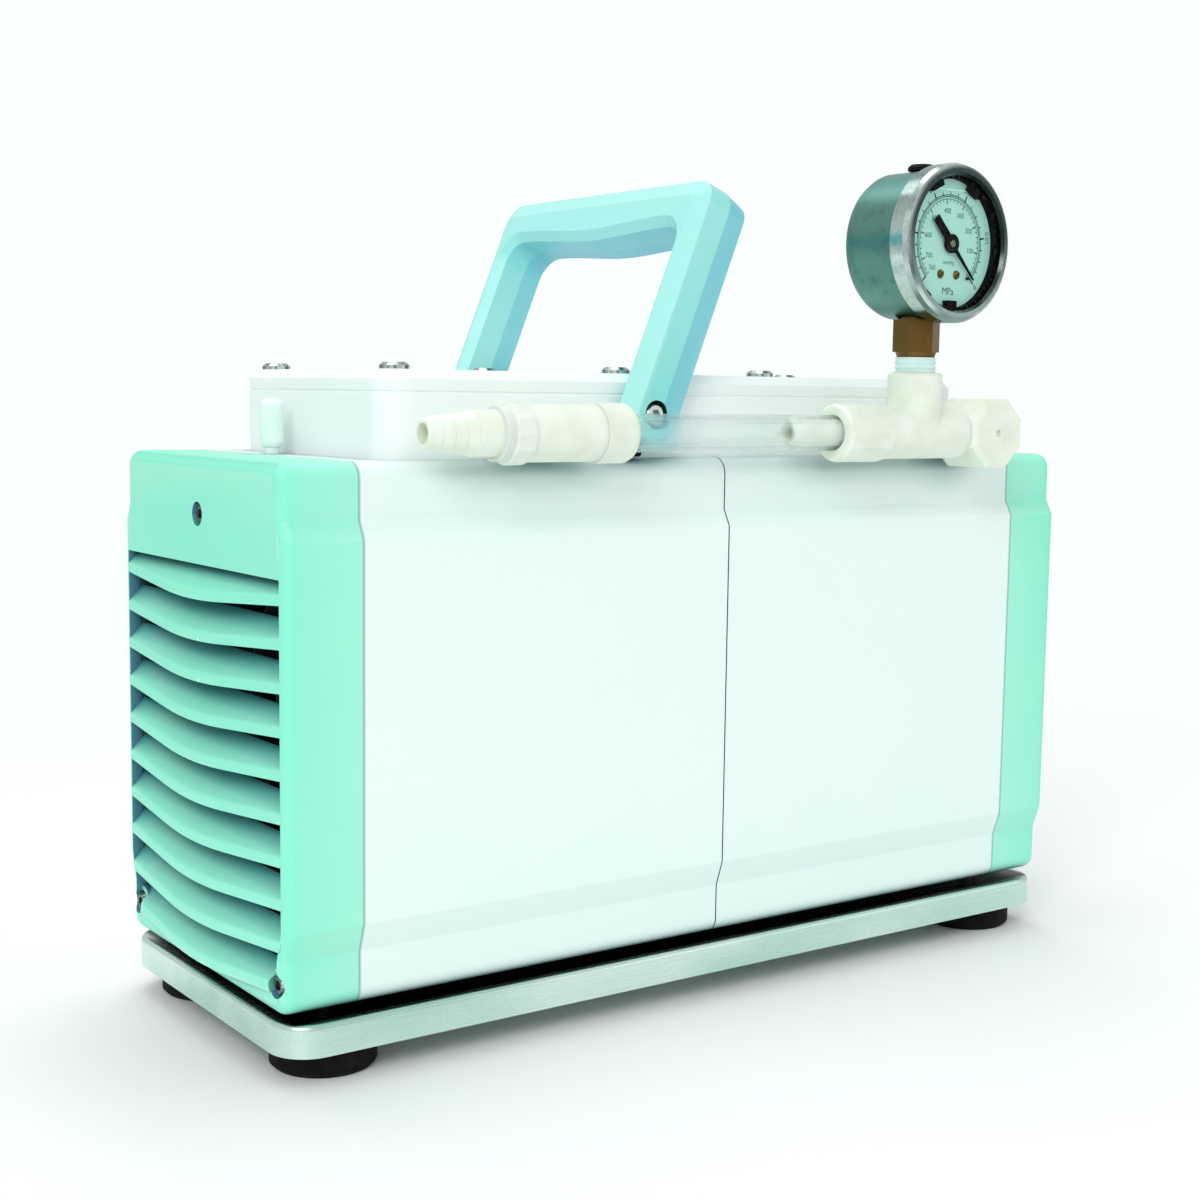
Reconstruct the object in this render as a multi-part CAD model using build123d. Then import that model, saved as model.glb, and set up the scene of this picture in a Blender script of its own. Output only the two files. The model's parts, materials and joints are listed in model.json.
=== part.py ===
"""Twin-head diaphragm vacuum pump: one motor drives two diaphragm heads in a louvred casing.

Frame: millimetres, X along the casing (motor shaft), Y towards the back, Z up, floor at Z = 0.
Every piece is drawn about the casing's middle plane (Y = 0) and then moved, so that the origin
is the middle of the overall box on the floor: the gauge stands out in front of the casing.
"""
from build123d import *
from math import radians, sqrt
import os

os.makedirs("parts", exist_ok=True)

# ---- driving dimensions -------------------------------------------------------------------
# casing
CASE_L = 334.0                  # over both end caps
CASE_D = 126.0                  # front to back, over the main band
CASE_BOTTOM = 22.0
CASE_TOP = 189.5
RECESS = 3.0                    # top and bottom bands stand this far in from the main band
STEP_LOW = (39.4, 48.5)         # heights where the lower slope starts and ends
STEP_HIGH = (166.3, 171.8)      # the same for the upper slope
CAP_L = 26.0                    # length of each end cap
WALL = 2.5                      # shell wall
SEAM_GAP = 0.5                  # between the two shells
SHELL_END = CASE_L / 2 - CAP_L  # where the shells meet the end caps

# louvred end caps
CAP_SIDE_WALL = 3.5
CAP_END_WALL = 4.0
LOUVRE_PITCH = 13.12
LOUVRE_COUNT = 10
LIP_LOW = 29.4                  # underside of the lowest slat's lip, at the window's sides
WINDOW_BOTTOM = 27.0
WINDOW_TOP = 155.0
WINDOW_MARGIN = 4.0             # window side to casing side
LIP_FACE = 3.2                  # height of a slat's upright outer face
SLAT_RISE = 5.2                 # how far a slat runs inwards, at 45 degrees
BOW_R, BOW_HALF = 235.0, 22.0   # round middle of a slat's free edge; straight flanks run on from it
STEP_R = 2.0                    # rounding of the creases between the bands
CAP_SCREWS = ((0.0, 171.0), (-55.0, 31.5), (55.0, 31.5))    # (y, z)

# base
PLATE_L, PLATE_D, PLATE_R = 334.0, 126.5, 13.0
PLATE_BOTTOM, PLATE_TOP, PLATE_T = 9.2, 19.5, 1.2
FOOT_X, FOOT_Y, FOOT_R = 145.0, 43.0, 17.0

# drive
SHAFT_Z = 104.5
SHAFT_R = 7.5
SHAFT_HALF = 134.0
RUNNING = 0.05                  # radial clearance of every running fit
MID_X = -2.0                    # the heads sit evenly about this X
HEAD_PITCH = 149.0
HEADS = {"left": MID_X - HEAD_PITCH / 2, "right": MID_X + HEAD_PITCH / 2}
THROW = {"left": 2.5, "right": -2.5}    # the cranks stand opposite: one up, one down
ECC_R = 14.0
ROD_BEARING_R, ROD_BEARING_W = 21.0, 12.0
ROD_LENGTH = 82.5               # crank pin to the plate under the diaphragm
CRANKCASE_X, CRANKCASE_Y = 80.0, 80.0
CRANK_WALL = 18.0
BEARING_R, BEARING_W = 17.5, 11.0
FRAME_R, FRAME_T = 54.0, 3.0
STATOR_L, ROTOR_R, AIR_GAP = 46.0, 27.0, 0.5
FAN_X, FAN_R, FAN_W = 127.0, 44.0, 12.0

# heads
DIAPHRAGM_T, DIAPHRAGM_R, FLEX_R, CLAMP_R = 2.5, 40.0, 33.0, 20.0
FLANGE_TOP = CASE_TOP - DIAPHRAGM_T
BLOCK_X, BLOCK_L, BLOCK_D, BLOCK_TOP, BLOCK_R = -3.0, 250.0, 104.0, 210.5, 10.0
COVER_TOP, COVER_SLOPE = 217.5, 3.0
SCREW_DX, SCREW_DY = 42.6, 42.0
SILENCER_XY = (-137.0, 8.0)
SILENCER_R, SILENCER_STEM_R = 3.9, 1.65

# handle
PIVOT_X, PIVOT_Z, LEAN = -32.2, 204.1, 22.0
LEG_OUT, LEG_T = 63.2, 10.2     # outer face of a leg, its thickness
GRIP_X = (-10.5, 9.9)           # the bar's two edges, about the pivot
GRIP_TOP, GRIP_UNDER, HEEL = 81.6, 65.3, 10.0
BELLY = 2.3                     # the bar's underside hangs this much lower in its middle
BEVELS = ((0, (6.5, 3.3), (2.9, 3.0)), (-1, (1.6, 8.3), (1.3, 8.3)))    # left, right: outer, inner
CORNER_OUT, CORNER_IN = 8.5, 8.0

# inlet line and gauge
LINE_Y, LINE_Z = -74.4, 198.3
TEE_X, GAUGE_X, ELBOW_X = HEADS["left"], 75.2, 108.0
ELBOW_R = 12.5                  # half the elbow's width across its flats
TUBE_R, TUBE_BORE = 6.2, 4.6
SOCKET_TOP, STEM_R = 219.7, 6.6
GAUGE_Z, GAUGE_TURN = 264.5, 3.5
GAUGE_BACK, GAUGE_FRONT, BEZEL_BACK = -13.0, 19.0, 10.0
CAN_R, BEZEL_R, DIAL_FRONT, GASKET_R = 25.8, 27.5, 13.5, 22.3
GASKET_TABS = ((0, 5.0, 2.6), (-35, 3.0, 1.2), (150, 6.0, 2.0), (205, 6.0, 2.0))    # turn, width, depth

# mains
INLET_X, SWITCH_X, MAINS_Z = 118.0, 84.0, 66.0
ROCKER_TILT = 9.0

parts = {}


# ---- helpers ------------------------------------------------------------------------------
AIM = {"Z": Rot(0, 0, 0), "X": Rot(0, 90, 0), "Y": Rot(-90, 0, 0)}


def turned(outline, axis="Z"):
    """Solid of revolution; outline is a loop of (distance along the axis, radius) points."""
    face = make_face(Polyline(*[(r, d) for d, r in outline], close=True))
    return AIM[axis] * revolve(Plane.XZ * face, Axis.Z)


def rod(radius, start, end, axis="Z"):
    """Cylinder round the axis from start to end."""
    return AIM[axis] * Pos(0, 0, start) * Cylinder(
        radius, end - start, align=(Align.CENTER, Align.CENTER, Align.MIN))


def tube(outer, inner, start, end, axis="Z"):
    return rod(outer, start, end, axis) - rod(inner, start - 1, end + 1, axis)


def block(x, y, z):
    """Box between the (low, high) pairs given for each axis."""
    size = [high - low for low, high in (x, y, z)]
    middle = [(high + low) / 2 for low, high in (x, y, z)]
    return Pos(*middle) * Box(*size)


def faceted(half_flat, start, end):
    """Twelve-sided bar along X that cuts the flats of a nut."""
    section = Plane.YZ * RegularPolygon(half_flat, 12, major_radius=False)
    return Pos(start, 0, 0) * extrude(section, amount=end - start)


def prism_z(face, start, end):
    return Pos(0, 0, start) * extrude(face, amount=end - start)


def pan_screw(head_r, head_h, shank_r, length, drive_r):
    """Screw standing on Z = 0: dished head above with a hex socket, shank below."""
    head = turned([(0, 0), (0, head_r), (head_h * 0.55, head_r), (head_h, head_r * 0.72), (head_h, 0)])
    socket = prism_z(RegularPolygon(drive_r, 6), head_h * 0.35, head_h + 1)
    return head + rod(shank_r, -length, 0) - socket


def case_outline(inset=0.0):
    """Section of the casing, drawn on the YZ plane, with its walls moved in by inset."""
    wide = CASE_D / 2 - inset
    narrow = wide - RECESS
    half = [(narrow, CASE_BOTTOM + inset), (narrow, STEP_LOW[0]), (wide, STEP_LOW[1]),
            (wide, STEP_HIGH[0]), (narrow, STEP_HIGH[1]), (narrow, CASE_TOP - inset)]
    loop = half + [(-y, z) for y, z in reversed(half)]
    face = make_face(Polyline(*loop, close=True))
    edges_r = max(5.5 - inset, 1.0)
    ends = [v for v in face.vertices() if v.Y > CASE_TOP - inset - 1 or v.Y < CASE_BOTTOM + inset + 1]
    face = fillet(ends, edges_r)
    steps = [v for v in face.vertices() if any(abs(v.Y - z) < 0.01 for z in STEP_LOW + STEP_HIGH)]
    return fillet(steps, STEP_R)


def case_prism(inset, start, end):
    return Pos(start, 0, 0) * extrude(Plane.YZ * case_outline(inset), amount=end - start)


# ---- base ---------------------------------------------------------------------------------
def base():
    outer = prism_z(RectangleRounded(PLATE_L, PLATE_D, PLATE_R), PLATE_BOTTOM, PLATE_TOP)
    outer = fillet(outer.faces().sort_by(Axis.Z)[-1].edges(), 1.8)
    inner = prism_z(RectangleRounded(PLATE_L - 2 * PLATE_T, PLATE_D - 2 * PLATE_T, PLATE_R - PLATE_T),
                    PLATE_BOTTOM - 1, PLATE_TOP - PLATE_T)
    plate = outer - inner
    corners = [Pos(x * FOOT_X, y * FOOT_Y, 0) for x in (-1, 1) for y in (-1, 1)]
    holes = [corner * rod(2.6, PLATE_BOTTOM, PLATE_TOP + 1) for corner in corners]
    holes += [Pos(x, y, 0) * rod(3.1, PLATE_BOTTOM, PLATE_TOP + 1) for x, y in crankcase_bolts()]
    parts["base_plate"] = plate - holes

    top = PLATE_TOP - PLATE_T
    foot = turned([(0, 6), (0, FOOT_R - 1.5), (1.5, FOOT_R), (9, FOOT_R), (top, FOOT_R - 3.5),
                   (top, 2.6), (8, 2.6), (8, 6)])
    parts["rubber_feet"] = [corner * foot for corner in corners]
    screw = Pos(0, 0, 8) * Rot(180, 0, 0) * pan_screw(4.6, 3.0, 2.5, top + PLATE_T + 1.5 - 8, 1.8)
    parts["foot_screws"] = [corner * screw for corner in corners]


# ---- casing -------------------------------------------------------------------------------
def shell(side):
    """Half of the outer casing: an open-ended sleeve with ports in its top and its floor."""
    sign = -1 if side == "left" else 1
    start, end = sorted((sign * SEAM_GAP / 2, sign * SHELL_END))
    body = case_prism(0, start, end) - case_prism(WALL, start - 1, end + 1)
    body += [Pos(sign * (SHELL_END - 14), y, z) * rod(5.0, *sorted((0, sign * 14)), "X")
             for y, z in CAP_SCREWS]
    body += block(sorted((sign * (SHELL_END - 14), sign * SHELL_END)), (-1.5, 1.5), (171.0, CASE_TOP - 1))
    body &= case_prism(0, start, end)
    body -= [Pos(sign * SHELL_END, y, z) * rod(2.0, -15, 15, "X") for y, z in CAP_SCREWS]
    head = HEADS[side]
    body -= Pos(head, 0, 0) * rod(DIAPHRAGM_R + 0.5, CASE_TOP - WALL - 1, CASE_TOP + 1)
    body -= [Pos(x, y, 0) * rod(2.6, 180, CASE_TOP + 1) for x, y in cover_bolts() if abs(x - head) < 60]
    half = CRANKCASE_X / 2 + 1
    body -= block((head - half, head + half), (-half, half), (CASE_BOTTOM - 1, CASE_BOTTOM + WALL + 1))
    return body


def casing():
    left = shell("left") - Pos(*SILENCER_XY, 0) * rod(SILENCER_STEM_R, 180, 200)
    parts["left_shell"] = left
    right = shell("right")
    right -= block((INLET_X - 13.6, INLET_X + 13.6), (50, 70), (MAINS_Z - 10.1, MAINS_Z + 10.1))
    right -= block((SWITCH_X - 6.5, SWITCH_X + 6.5), (50, 70), (MAINS_Z - 9.6, MAINS_Z + 9.6))
    parts["right_shell"] = right


def bowed_slat(lip_z):
    """One louvre slat: a 45 degree plate whose free edge bows outwards, with an upright lip."""
    out = -CASE_L / 2
    slope = Plane(origin=(out, 0, lip_z), x_dir=(0, 1, 0), z_dir=(-1, 0, 1))
    half = CASE_D / 2
    rise = sqrt(BOW_R ** 2 - BOW_HALF ** 2)
    flank = BOW_HALF / rise
    knee = (half - WINDOW_MARGIN - BOW_HALF) * flank
    shoulder = -WINDOW_MARGIN * flank
    back = -SLAT_RISE * sqrt(2)
    ends = [(-BOW_HALF, knee), (0, knee + BOW_R - rise), (BOW_HALF, knee)]
    edge = [Line((-half, shoulder), ends[0]), ThreePointArc(*ends), Line(ends[2], (half, shoulder))]
    plate = make_face([*edge, Polyline((half, shoulder), (half, back), (-half, back), (-half, shoulder))])
    slat = extrude(slope * plate, amount=LIP_FACE, dir=(0, 0, 1))
    lip_top = slat.faces().sort_by(Axis((0, 0, 0), (-1, 0, 1)))[-1]
    lip = [e for e in lip_top.edges() if (e @ 0.5).X < out + 0.5]
    slat = fillet(lip, 1.4)
    return slat & case_prism(WINDOW_MARGIN - 0.8, out - 10, out + CAP_L)


def left_cap():
    """Moulded end cap: rounded cup with a window full of bowed slats, screwed on at three points."""
    out = -CASE_L / 2
    cap = case_prism(0, out, -SHELL_END)
    cap = fillet(cap.faces().sort_by(Axis.X)[0].edges(), 4.0)
    cap -= case_prism(CAP_SIDE_WALL, out + CAP_END_WALL, 0)
    window = case_prism(WINDOW_MARGIN, out - 5, out + CAP_END_WALL + 1)
    cap -= window & block((out - 6, out + 20), (-80, 80), (WINDOW_BOTTOM, WINDOW_TOP))
    low, high, back = WINDOW_BOTTOM - 2, LIP_LOW + 1, out + SLAT_RISE
    sill = make_face(Polyline((out, low), (out, high), (back, high + SLAT_RISE), (back, low), close=True))
    sill = Pos(0, CASE_D / 2, 0) * extrude(Plane.XZ * sill, amount=CASE_D)
    cap += sill & case_prism(WINDOW_MARGIN - 0.8, out, out + CAP_L)
    for i in range(LOUVRE_COUNT):
        cap += bowed_slat(LIP_LOW + i * LOUVRE_PITCH)
    bosses = [Pos(out + 2, y, z) * rod(5.5, 0, CAP_L - 2, "X") for y, z in CAP_SCREWS]
    cap += [boss & case_prism(1.0, out, -SHELL_END) for boss in bosses]
    cap -= [Pos(out, y, z) * rod(3.9, -4, 4.5, "X") for y, z in CAP_SCREWS]
    return cap - [Pos(out, y, z) * rod(2.2, 0, CAP_L + 1, "X") for y, z in CAP_SCREWS]


def end_caps():
    cap = left_cap()
    parts["left_end_cap"] = cap
    parts["right_end_cap"] = mirror(cap, about=Plane.YZ)
    screw = Rot(0, -90, 0) * pan_screw(3.5, 3.6, 2.0, CAP_L + 5, 1.7)
    screws = [Pos(-CASE_L / 2 + 4.5, y, z) * screw for y, z in CAP_SCREWS]
    parts["cap_screws"] = screws + [mirror(s, about=Plane.YZ) for s in screws]


# ---- drive --------------------------------------------------------------------------------
def crankcase_bolts():
    return [(x + dx, y) for x in HEADS.values() for dx in (-28, 28) for y in (-34, 34)]


def crankcase(side):
    """Casting that carries the shaft bearings and, on its flange, one diaphragm head."""
    x = HEADS[side]
    hx, hy = CRANKCASE_X / 2, CRANKCASE_Y / 2
    body = block((x - hx, x + hx), (-hy, hy), (PLATE_TOP, FLANGE_TOP))
    body += prism_z(Pos(x, 0) * RectangleRounded(98, 98, 8), FLANGE_TOP - 7, FLANGE_TOP)
    body -= block((x - hx - 1, x + hx + 1), (-26, 26), (PLATE_TOP - 1, 52))
    inner = hx - CRANK_WALL
    body -= block((x - inner, x + inner), (-33, 33), (68, FLANGE_TOP - 20))
    body -= Pos(x, 0, 0) * rod(FLEX_R - 7, FLANGE_TOP - 21, FLANGE_TOP - 8)
    body -= Pos(x, 0, 0) * turned([(FLANGE_TOP - 8, 0), (FLANGE_TOP - 8, 26), (FLANGE_TOP + 1, 34),
                                   (FLANGE_TOP + 1, 0)])
    body -= Pos(0, 0, SHAFT_Z) * rod(SHAFT_R + 1.5, x - hx - 1, x + hx + 1, "X")
    for face in (-1, 1):
        seat = sorted((x + face * hx, x + face * (hx - BEARING_W)))
        body -= Pos(0, 0, SHAFT_Z) * rod(BEARING_R, *seat, "X")
    body -= [Pos(bx, by, 0) * rod(3.0, PLATE_TOP - 1, PLATE_TOP + 14) for bx, by in crankcase_bolts()]
    body -= [Pos(bx, by, 0) * rod(2.5, FLANGE_TOP - 8, FLANGE_TOP + 1) for bx, by in cover_bolts()]
    return body


def drive():
    for side, x in HEADS.items():
        parts[f"crankcase_{side}"] = crankcase(side)
    bolt = Pos(0, 0, PLATE_TOP - PLATE_T) * Rot(180, 0, 0) * pan_screw(5.0, 4.0, 3.0, 14, 2.5)
    parts["crankcase_bolts"] = [Pos(x, y, 0) * bolt for x, y in crankcase_bolts()]

    low = HEADS["left"] + CRANKCASE_X / 2
    high = HEADS["right"] - CRANKCASE_X / 2
    at_shaft = Pos(0, 0, SHAFT_Z)
    frame = at_shaft * tube(FRAME_R, FRAME_R - FRAME_T, low, high, "X")
    parts["motor_frame"] = frame
    core_start, core_end = MID_X - STATOR_L / 2, MID_X + STATOR_L / 2
    core = tube(FRAME_R - FRAME_T, ROTOR_R + AIR_GAP, core_start, core_end, "X")
    parts["stator_core"] = at_shaft * core
    coil = (8.5, ROTOR_R + 5, FRAME_R - FRAME_T - 5)
    coils = [tube(coil[2], coil[1], core_end, core_end + coil[0], "X"),
             tube(coil[2], coil[1], core_start - coil[0], core_start, "X")]
    parts["stator_windings"] = [at_shaft * fillet(c.edges(), 2.5) for c in coils]
    parts["rotor_core"] = at_shaft * tube(ROTOR_R, SHAFT_R, core_start, core_end, "X")
    shaft = turned([(-SHAFT_HALF, 0), (-SHAFT_HALF, SHAFT_R - 1), (1 - SHAFT_HALF, SHAFT_R),
                    (SHAFT_HALF - 1, SHAFT_R), (SHAFT_HALF, SHAFT_R - 1), (SHAFT_HALF, 0)], "X")
    parts["motor_shaft"] = at_shaft * shaft
    bearing = tube(BEARING_R, SHAFT_R + RUNNING, 0, BEARING_W, "X")
    grooves = turned([(-1, 10.2), (-1, 14.2), (0.8, 14.2), (0.8, 10.2)], "X")
    bearing -= [grooves, Pos(BEARING_W, 0, 0) * mirror(grooves, about=Plane.YZ)]
    seats = [x + offset for x in HEADS.values() for offset in (-CRANKCASE_X / 2, CRANKCASE_X / 2 - BEARING_W)]
    parts["shaft_bearings"] = [Pos(seat, 0, SHAFT_Z) * bearing for seat in seats]
    ring = tube(ROD_BEARING_R, ECC_R, -ROD_BEARING_W / 2, ROD_BEARING_W / 2, "X")
    parts["rod_bearings"] = [Pos(x, 0, SHAFT_Z + THROW[side]) * ring for side, x in HEADS.items()]
    for side, x in HEADS.items():
        crank(side, x)
    parts["run_capacitor"] = Pos(MID_X, 22, CASE_BOTTOM + WALL + 11) * capacitor()


def capacitor():
    can = turned([(-29, 0), (-29, 9.5), (-27.5, 11), (27.5, 11), (29, 9.5), (29, 0)], "X")
    tags = [block((28.5, 33.5), (y - 0.4, y + 0.4), (-3, 3)) for y in (-4.5, 4.5)]
    return can + tags


def crank(side, x):
    """Eccentric, big-end bearing, connecting rod, clamp disc and diaphragm of one head."""
    throw = THROW[side]
    pin_z = SHAFT_Z + throw
    cheek = 5.0
    reach = 29.0
    half = ROD_BEARING_W / 2
    eccentric = Pos(x, 0, pin_z) * rod(ECC_R, -half, half, "X")
    weight = rod(reach, half, half + cheek, "X") - block((0, 20), (-40, 40), (-7, 40))
    weight = weight if throw > 0 else Rot(180, 0, 0) * weight
    hub = rod(SHAFT_R + 4, half, half + cheek, "X")
    eccentric += Pos(x, 0, SHAFT_Z) * (weight + hub)
    parts[f"eccentric_{side}"] = eccentric - Pos(x, 0, SHAFT_Z) * rod(SHAFT_R, -30, 30, "X")

    neck = block((-half + 1, half - 1), (-8, 8), (20, ROD_LENGTH - 4))
    plate = turned([(ROD_LENGTH - 5, 0), (ROD_LENGTH - 5, CLAMP_R - 4), (ROD_LENGTH - 3, CLAMP_R),
                    (ROD_LENGTH, CLAMP_R), (ROD_LENGTH, 0)])
    conrod = rod(ROD_BEARING_R + 5, -half, half, "X") + neck + plate
    conrod -= rod(ROD_BEARING_R + RUNNING, -half - 1, half + 1, "X")
    conrod -= rod(2.5, ROD_LENGTH - 14, ROD_LENGTH + 1)
    parts[f"conrod_{side}"] = Pos(x, 0, pin_z) * conrod

    rest = FLANGE_TOP + throw
    t = DIAPHRAGM_T
    rim = FLANGE_TOP
    membrane = turned([(rest, 2.5), (rest, CLAMP_R), (rim, FLEX_R), (rim, DIAPHRAGM_R),
                       (rim + t, DIAPHRAGM_R), (rim + t, FLEX_R), (rest + t, CLAMP_R), (rest + t, 2.5)])
    parts[f"diaphragm_{side}"] = Pos(x, 0, 0) * membrane
    disc = turned([(0, 2.5), (0, CLAMP_R), (1, CLAMP_R), (2.2, CLAMP_R - 3), (2.2, 2.5)])
    screw = Pos(0, 0, 2.2) * pan_screw(4.2, 1.8, 2.5, 12 + t + 2.2, 1.5)
    parts[f"clamp_disc_{side}"] = [Pos(x, 0, rest + t) * piece for piece in (disc, screw)]


def fan(sign):
    hub = turned([(-FAN_W / 2, SHAFT_R), (-FAN_W / 2, 15), (FAN_W / 2 - 3, 15), (FAN_W / 2, 12),
                  (FAN_W / 2, SHAFT_R)], "X")
    blade = Pos(0, 0, 28.5) * Rot(0, 0, 38) * Box(1.6, 15, 29)
    blades = [Rot(i * 360 / 7, 0, 0) * blade for i in range(7)]
    ring = tube(FAN_R, FAN_R - 1.6, -2, 2, "X")
    whole = hub + blades + ring
    whole -= rod(SHAFT_R, -20, 20, "X")
    whole &= rod(FAN_R, -FAN_W / 2, FAN_W / 2, "X")
    return Pos(sign * FAN_X, 0, SHAFT_Z) * (whole if sign < 0 else Rot(0, 0, 180) * whole)


# ---- heads --------------------------------------------------------------------------------
def cover_bolts():
    return [(x + dx, dy) for x in HEADS.values() for dx in (-SCREW_DX, SCREW_DX)
            for dy in (-SCREW_DY, SCREW_DY)]


def heads():
    plan = Pos(BLOCK_X, 0) * RectangleRounded(BLOCK_L, BLOCK_D, BLOCK_R)
    body = prism_z(plan, CASE_TOP, BLOCK_TOP)
    body = chamfer(body.faces().sort_by(Axis.Z)[-1].edges(), 0.5)
    cover = prism_z(plan, BLOCK_TOP, COVER_TOP)
    cover = chamfer(cover.faces().sort_by(Axis.Z)[-1].edges(), COVER_SLOPE)
    cover = chamfer(cover.faces().sort_by(Axis.Z)[0].edges(), 0.5)
    reeds = []
    for x in HEADS.values():
        chamber = turned([(CASE_TOP - 1, 0), (CASE_TOP - 1, FLEX_R), (CASE_TOP, FLEX_R),
                          (CASE_TOP + 5, CLAMP_R + 3), (CASE_TOP + 9, CLAMP_R + 1), (CASE_TOP + 9, 0)])
        body -= Pos(x, 0, 0) * chamber
        for dx in (-11, 11):
            body -= Pos(x + dx, 0, 0) * rod(3.5, CASE_TOP + 8, BLOCK_TOP + 1)
            body -= Pos(x + dx, 0, 0) * rod(8.0, BLOCK_TOP - 1.2, BLOCK_TOP + 1)
            reeds.append(Pos(x + dx, 0, 0) * rod(7.8, BLOCK_TOP - 1.2, BLOCK_TOP))
    parts["valve_discs"] = reeds
    front = -BLOCK_D / 2
    for x in (TEE_X, ELBOW_X):
        body -= Pos(x, front, LINE_Z) * rod(6.0, -1, 9, "Y")
    for y in (-1, 1):
        body -= Pos(PIVOT_X, y * BLOCK_D / 2, PIVOT_Z) * rod(2.5, -6.5, 6.5, "Y")
    holes = [Pos(x, y, 0) * rod(2.6, CASE_TOP - 1, COVER_TOP + 1) for x, y in cover_bolts()]
    parts["head_block"] = body - holes
    parts["head_cover"] = cover - holes
    screw = pan_screw(4.8, 2.2, 2.5, COVER_TOP - FLANGE_TOP + 6, 2.0)
    parts["cover_screws"] = [Pos(x, y, COVER_TOP) * screw for x, y in cover_bolts()]


def silencer():
    """Sintered exhaust silencer screwed into the casing's top."""
    z = CASE_TOP
    r = SILENCER_R
    body = turned([(z - WALL, 0), (z - WALL, SILENCER_STEM_R), (z, SILENCER_STEM_R), (z, 2.6), (z + 2, 2.6),
                   (z + 2.6, r - 0.5), (z + 4, r), (z + 16.5, r), (z + 18.2, r - 1.1), (z + 18.5, 0)])
    parts["exhaust_silencer"] = Pos(*SILENCER_XY, 0) * body


# ---- handle -------------------------------------------------------------------------------
def handle():
    """Bail with eight-sided legs and bar, its left edges cut back further than its right ones."""
    inner = LEG_OUT - LEG_T
    below = -4 * HEEL
    outer = Pos(0, (GRIP_TOP + below) / 2) * Rectangle(2 * LEG_OUT, GRIP_TOP - below)
    outer = fillet([v for v in outer.vertices() if v.Y > 0], CORNER_OUT)
    half, spring = inner - CORNER_IN, GRIP_UNDER - CORNER_IN
    underside = Spline((-half, GRIP_UNDER), (0, GRIP_UNDER - BELLY), (half, GRIP_UNDER),
                       tangents=[(1, 0), (1, 0)])
    gap = make_face([Line((-inner, below), (-inner, spring)),
                     RadiusArc((-inner, spring), (-half, GRIP_UNDER), CORNER_IN), underside,
                     RadiusArc((half, GRIP_UNDER), (inner, spring), CORNER_IN),
                     Line((inner, spring), (inner, below)), Line((inner, below), (-inner, below))])
    bail = Plane.YZ * (outer - gap)
    body = Pos(GRIP_X[0], 0, 0) * extrude(bail, amount=GRIP_X[1] - GRIP_X[0])
    for index, outside, inside in BEVELS:
        for (across, along), is_outer in ((outside, True), (inside, False)):
            face = body.faces().filter_by(Axis.X).sort_by(Axis.X)[index]
            edges = [e for e in face.edges() if (e @ 0.5).Z > below + 1 and is_outer ==
                     (abs((e @ 0.5).Y) > inner + 1 or (e @ 0.5).Z > GRIP_UNDER + 5)]
            body = chamfer(edges, across, along, reference=face)
    side = Pos(sum(GRIP_X) / 2, (GRIP_TOP - HEEL) / 2) * Rectangle(GRIP_X[1] - GRIP_X[0], GRIP_TOP + HEEL)
    side = fillet([v for v in side.vertices() if v.Y < 0], 8.5)
    body &= Pos(0, LEG_OUT + 1, 0) * extrude(Plane.XZ * side, amount=2 * LEG_OUT + 2)
    body -= rod(2.5 + RUNNING, -LEG_OUT - 1, LEG_OUT + 1, "Y")
    for end in (-1, 1):
        body -= rod(4.7, *sorted((end * (LEG_OUT - 3.2), end * (LEG_OUT + 1))), "Y")
    parts["handle"] = Pos(PIVOT_X, 0, PIVOT_Z) * Rot(0, LEAN, 0) * body

    screw = pan_screw(4.2, 2.6, 2.5, LEG_T - 3.2 + 1 + 6, 1.8)
    ends = [Rot(90, 0, 0), Rot(-90, 0, 0)]
    screws = [Pos(PIVOT_X, sign * (LEG_OUT - 3.2), PIVOT_Z) * turn * screw
              for sign, turn in zip((-1, 1), ends)]
    parts["handle_pivot_screws"] = screws
    gap_y = (BLOCK_D / 2, LEG_OUT - LEG_T - 0.1)
    washers = [Pos(PIVOT_X, 0, PIVOT_Z) * tube(6.5, 2.6, *sorted((s * gap_y[0], s * gap_y[1])), "Y")
               for s in (-1, 1)]
    parts["handle_washers"] = washers
    stop = [block((PIVOT_X - 10, PIVOT_X - 3), sorted((s * BLOCK_D / 2, s * (BLOCK_D / 2 + 7))),
                  (CASE_TOP + 0.6, CASE_TOP + 3.1)) for s in (-1, 1)]
    parts["handle_stops"] = [fillet(s.edges().filter_by(Axis.Y), 1.1) for s in stop]


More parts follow.
